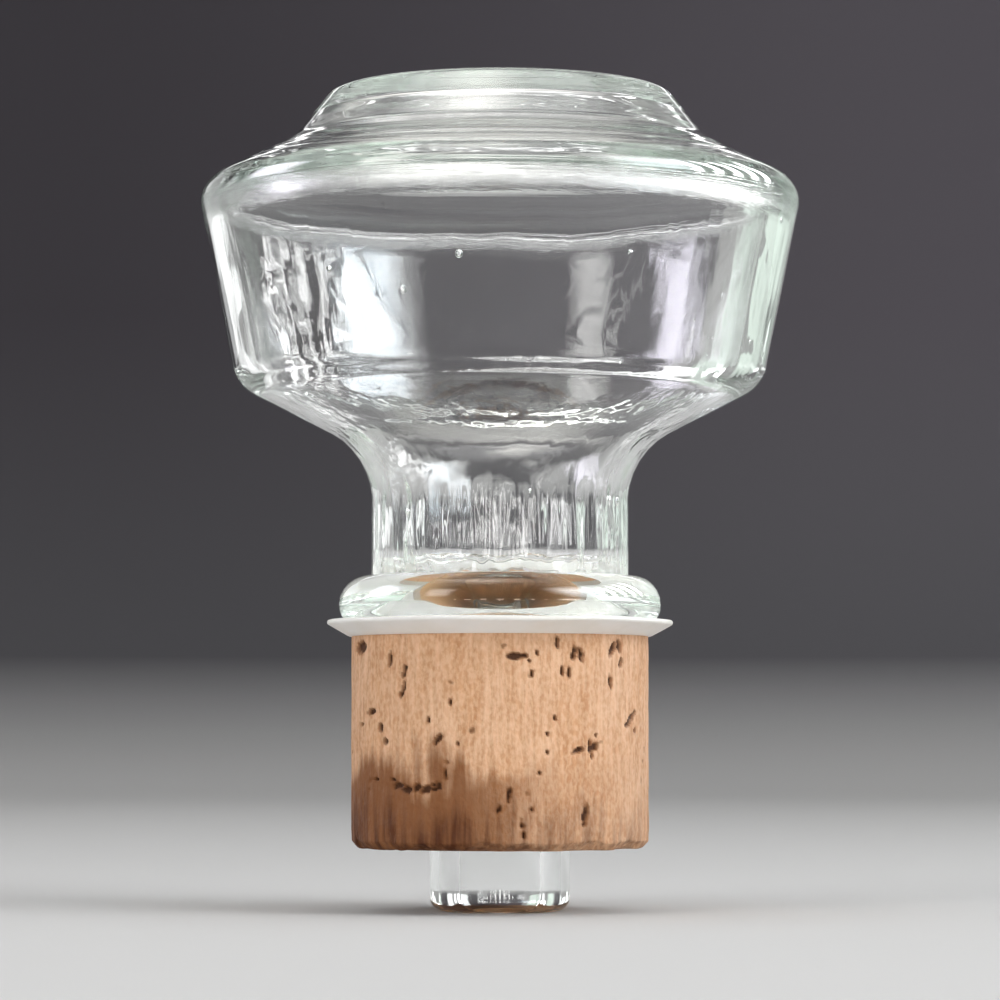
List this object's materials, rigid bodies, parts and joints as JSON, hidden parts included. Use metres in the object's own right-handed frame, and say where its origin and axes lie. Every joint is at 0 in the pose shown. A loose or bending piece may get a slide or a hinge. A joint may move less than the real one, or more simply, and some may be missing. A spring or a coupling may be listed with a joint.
{
  "type": "glass decanter stopper",
  "caption": "Hollow blown glass bottle stopper with a wide stepped head, a bead, a white plastic washer and a cork sleeve on a glass peg.",
  "frame": {"origin": "on the axis, at the cork's top face, where the washer lies on it", "axes": "+Z along the axis of revolution, towards the glass head; -Z towards the cork and the open end of the peg"},
  "size_m": [0.0672, 0.0672, 0.0916],
  "materials": {
    "clear_glass": "clear soda glass with a faint green tint, fire-polished and slightly wavy",
    "white_plastic": "thin off-white polyethylene, slightly translucent",
    "natural_cork": "natural cork with dark pores, stained brown at its lower end"
  },
  "bodies": {
    "root": {"glass_stopper": "clear_glass", "washer": "white_plastic", "cork": "natural_cork"}
  },
  "joints": []
}
